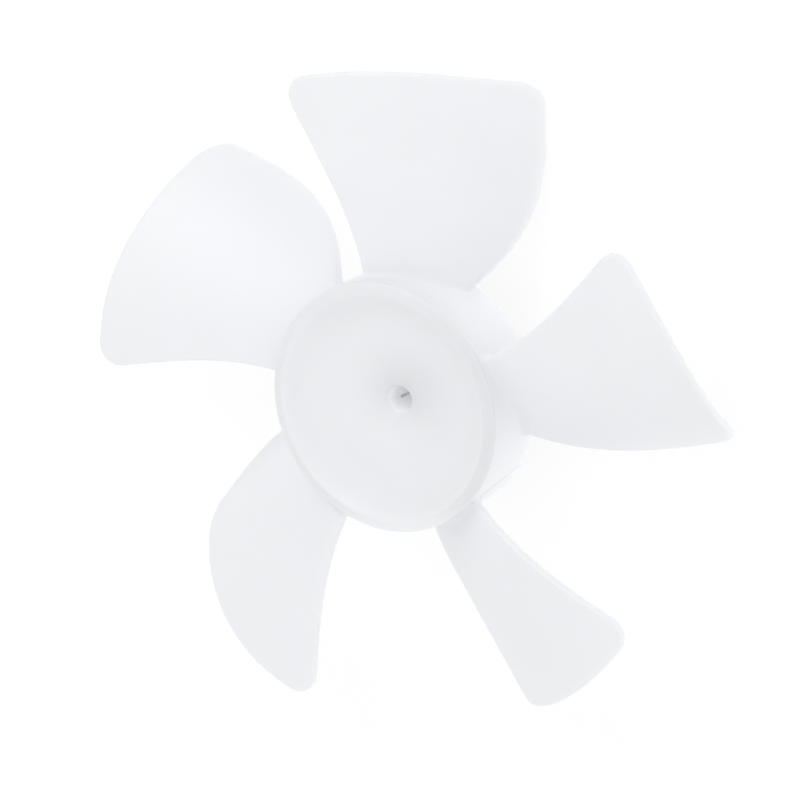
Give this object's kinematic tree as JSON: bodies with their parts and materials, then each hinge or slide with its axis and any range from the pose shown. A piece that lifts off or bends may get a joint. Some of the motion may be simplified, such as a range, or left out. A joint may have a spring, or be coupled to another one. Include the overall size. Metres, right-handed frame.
{
  "type": "axial fan blade",
  "caption": "Push-on axial fan blade for a refrigerator: cup-shaped hub with a dished face and a split shaft boss, ringed by broad curved blades, moulded in one piece of white plastic.",
  "frame": {"origin": "centre of the bore's entry on the hub's back plane, where the motor shaft goes in", "axes": "+Z along the shaft axis towards the dished front face; +X along the ridge of one blade"},
  "size_m": [0.124, 0.1261, 0.0254],
  "materials": {
    "white_plastic": "satin, slightly translucent white polypropylene"
  },
  "bodies": {
    "root": {"fan_blade": "white_plastic"}
  },
  "joints": []
}
